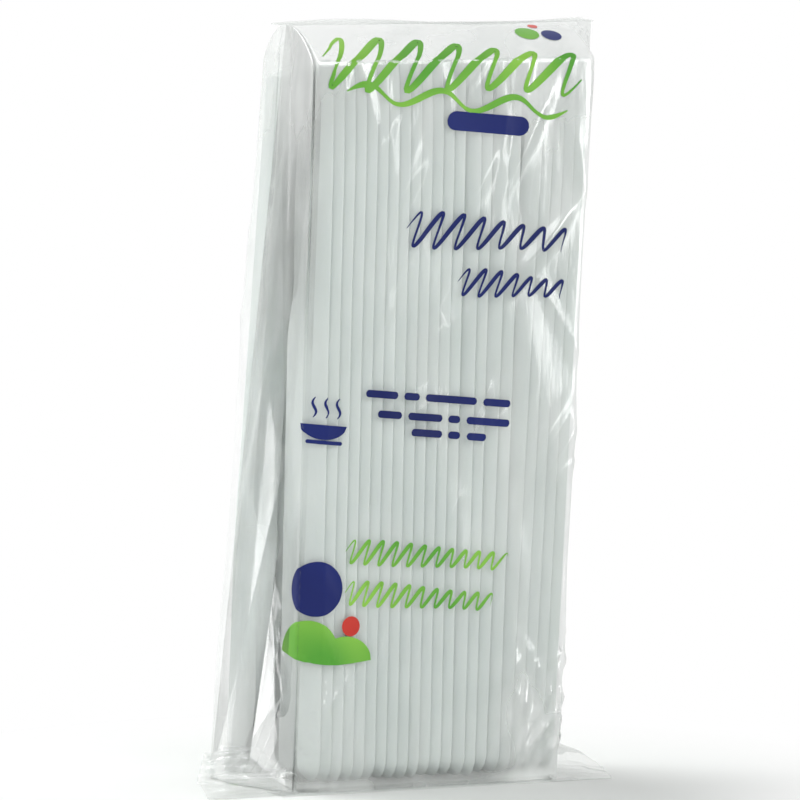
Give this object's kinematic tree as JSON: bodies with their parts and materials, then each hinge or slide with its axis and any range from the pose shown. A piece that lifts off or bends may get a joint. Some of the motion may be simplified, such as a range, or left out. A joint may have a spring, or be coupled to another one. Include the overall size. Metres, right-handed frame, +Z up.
{
  "type": "pack of compostable knives",
  "caption": "Clear film bag of white moulded disposable knives, nested upright in rows, with a crimped fin on top and folded ears at the bottom.",
  "frame": {"origin": "middle of the pack's outer box at its lowest level, on the folded bottom of the bag", "axes": "+X along the wide front from left to right, +Y from the front to the back (the front faces -Y), +Z up along the knives"},
  "size_m": [0.1064, 0.0406, 0.1772],
  "materials": {
    "knife_plastic": "satin",
    "clear_film": "gloss"
  },
  "bodies": {
    "root": {"film_bag": "clear_film", "knife_01": "knife_plastic", "knife_02": "knife_plastic", "knife_03": "knife_plastic", "knife_04": "knife_plastic", "knife_05": "knife_plastic", "knife_06": "knife_plastic", "knife_07": "knife_plastic", "knife_08": "knife_plastic", "knife_09": "knife_plastic", "knife_10": "knife_plastic", "knife_11": "knife_plastic", "knife_12": "knife_plastic", "knife_13": "knife_plastic", "knife_14": "knife_plastic", "knife_15": "knife_plastic", "knife_16": "knife_plastic", "knife_17": "knife_plastic", "knife_18": "knife_plastic", "knife_19": "knife_plastic", "knife_20": "knife_plastic", "knife_21": "knife_plastic", "knife_22": "knife_plastic", "knife_23": "knife_plastic", "knife_24": "knife_plastic", "knife_25": "knife_plastic", "knife_26": "knife_plastic", "knife_27": "knife_plastic", "knife_28": "knife_plastic", "knife_29": "knife_plastic", "knife_30": "knife_plastic", "knife_31": "knife_plastic", "knife_32": "knife_plastic", "knife_33": "knife_plastic", "knife_34": "knife_plastic", "knife_35": "knife_plastic", "knife_36": "knife_plastic", "knife_37": "knife_plastic", "knife_38": "knife_plastic", "knife_39": "knife_plastic", "knife_40": "knife_plastic", "knife_41": "knife_plastic", "knife_42": "knife_plastic", "knife_43": "knife_plastic", "knife_44": "knife_plastic", "knife_45": "knife_plastic", "knife_46": "knife_plastic", "knife_47": "knife_plastic", "knife_48": "knife_plastic", "knife_49": "knife_plastic", "knife_50": "knife_plastic"}
  },
  "joints": []
}
